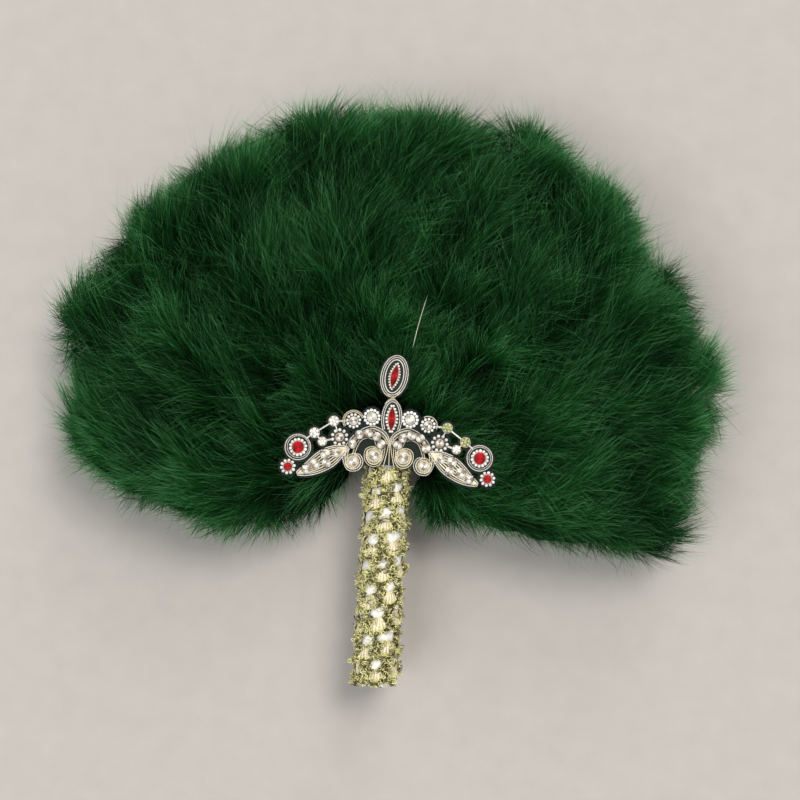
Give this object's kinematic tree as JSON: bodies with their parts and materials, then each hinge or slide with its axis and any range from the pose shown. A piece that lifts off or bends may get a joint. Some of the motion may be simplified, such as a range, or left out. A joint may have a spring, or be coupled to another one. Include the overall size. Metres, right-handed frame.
{
  "type": "feather hand fan",
  "caption": "Rigid half-round hand fan of tiered green marabou plumes on a lace-wound satin tube handle, with a beaded applique over the neck.",
  "frame": {"origin": "centre of the flat butt face of the handle", "axes": "+Y up the handle to the top of the fan, +X to the right seen from the front, +Z out of the front face, so the fan lies on its back"},
  "size_m": [0.5005, 0.4346, 0.0698],
  "materials": {
    "plumes": "matte",
    "card": "matte",
    "felt": "matte",
    "satin": "satin",
    "gold_lace": "satin",
    "wood": "matte",
    "net": "matte",
    "beadwork": "gloss",
    "red_stones": "gloss"
  },
  "bodies": {
    "root": {"applique_net": "net", "butt_plug": "wood", "core_board": "card", "front_facing": "felt", "front_inner_plume_1": "plumes", "front_inner_plume_2": "plumes", "front_inner_plume_3": "plumes", "front_inner_plume_4": "plumes", "front_inner_plume_5": "plumes", "front_middle_plume_1": "plumes", "front_middle_plume_2": "plumes", "front_middle_plume_3": "plumes", "front_middle_plume_4": "plumes", "front_middle_plume_5": "plumes", "front_middle_plume_6": "plumes", "front_middle_plume_7": "plumes", "front_middle_plume_8": "plumes", "front_outer_plume_1": "plumes", "front_outer_plume_10": "plumes", "front_outer_plume_11": "plumes", "front_outer_plume_2": "plumes", "front_outer_plume_3": "plumes", "front_outer_plume_4": "plumes", "front_outer_plume_5": "plumes", "front_outer_plume_6": "plumes", "front_outer_plume_7": "plumes", "front_outer_plume_8": "plumes", "front_outer_plume_9": "plumes", "handle_tube": "card", "lace_winding": "gold_lace", "left_large_ruby_setting": "beadwork", "left_large_ruby_stone": "red_stones", "left_leaf": "beadwork", "left_rosette_chain": "beadwork", "left_small_ruby_setting": "beadwork", "left_small_ruby_stone": "red_stones", "lower_marquise_setting": "beadwork", "lower_marquise_stone": "red_stones", "rear_facing": "felt", "rear_inner_plume_1": "plumes", "rear_inner_plume_2": "plumes", "rear_inner_plume_3": "plumes", "rear_inner_plume_4": "plumes", "rear_outer_plume_1": "plumes", "rear_outer_plume_2": "plumes", "rear_outer_plume_3": "plumes", "rear_outer_plume_4": "plumes", "rear_outer_plume_5": "plumes", "rear_outer_plume_6": "plumes", "rear_outer_plume_7": "plumes", "right_large_ruby_setting": "beadwork", "right_large_ruby_stone": "red_stones", "right_leaf": "beadwork", "right_rosette_chain": "beadwork", "right_small_ruby_setting": "beadwork", "right_small_ruby_stone": "red_stones", "satin_sleeve": "satin", "scrollwork": "beadwork", "upper_marquise_setting": "beadwork", "upper_marquise_stone": "red_stones"}
  },
  "joints": []
}
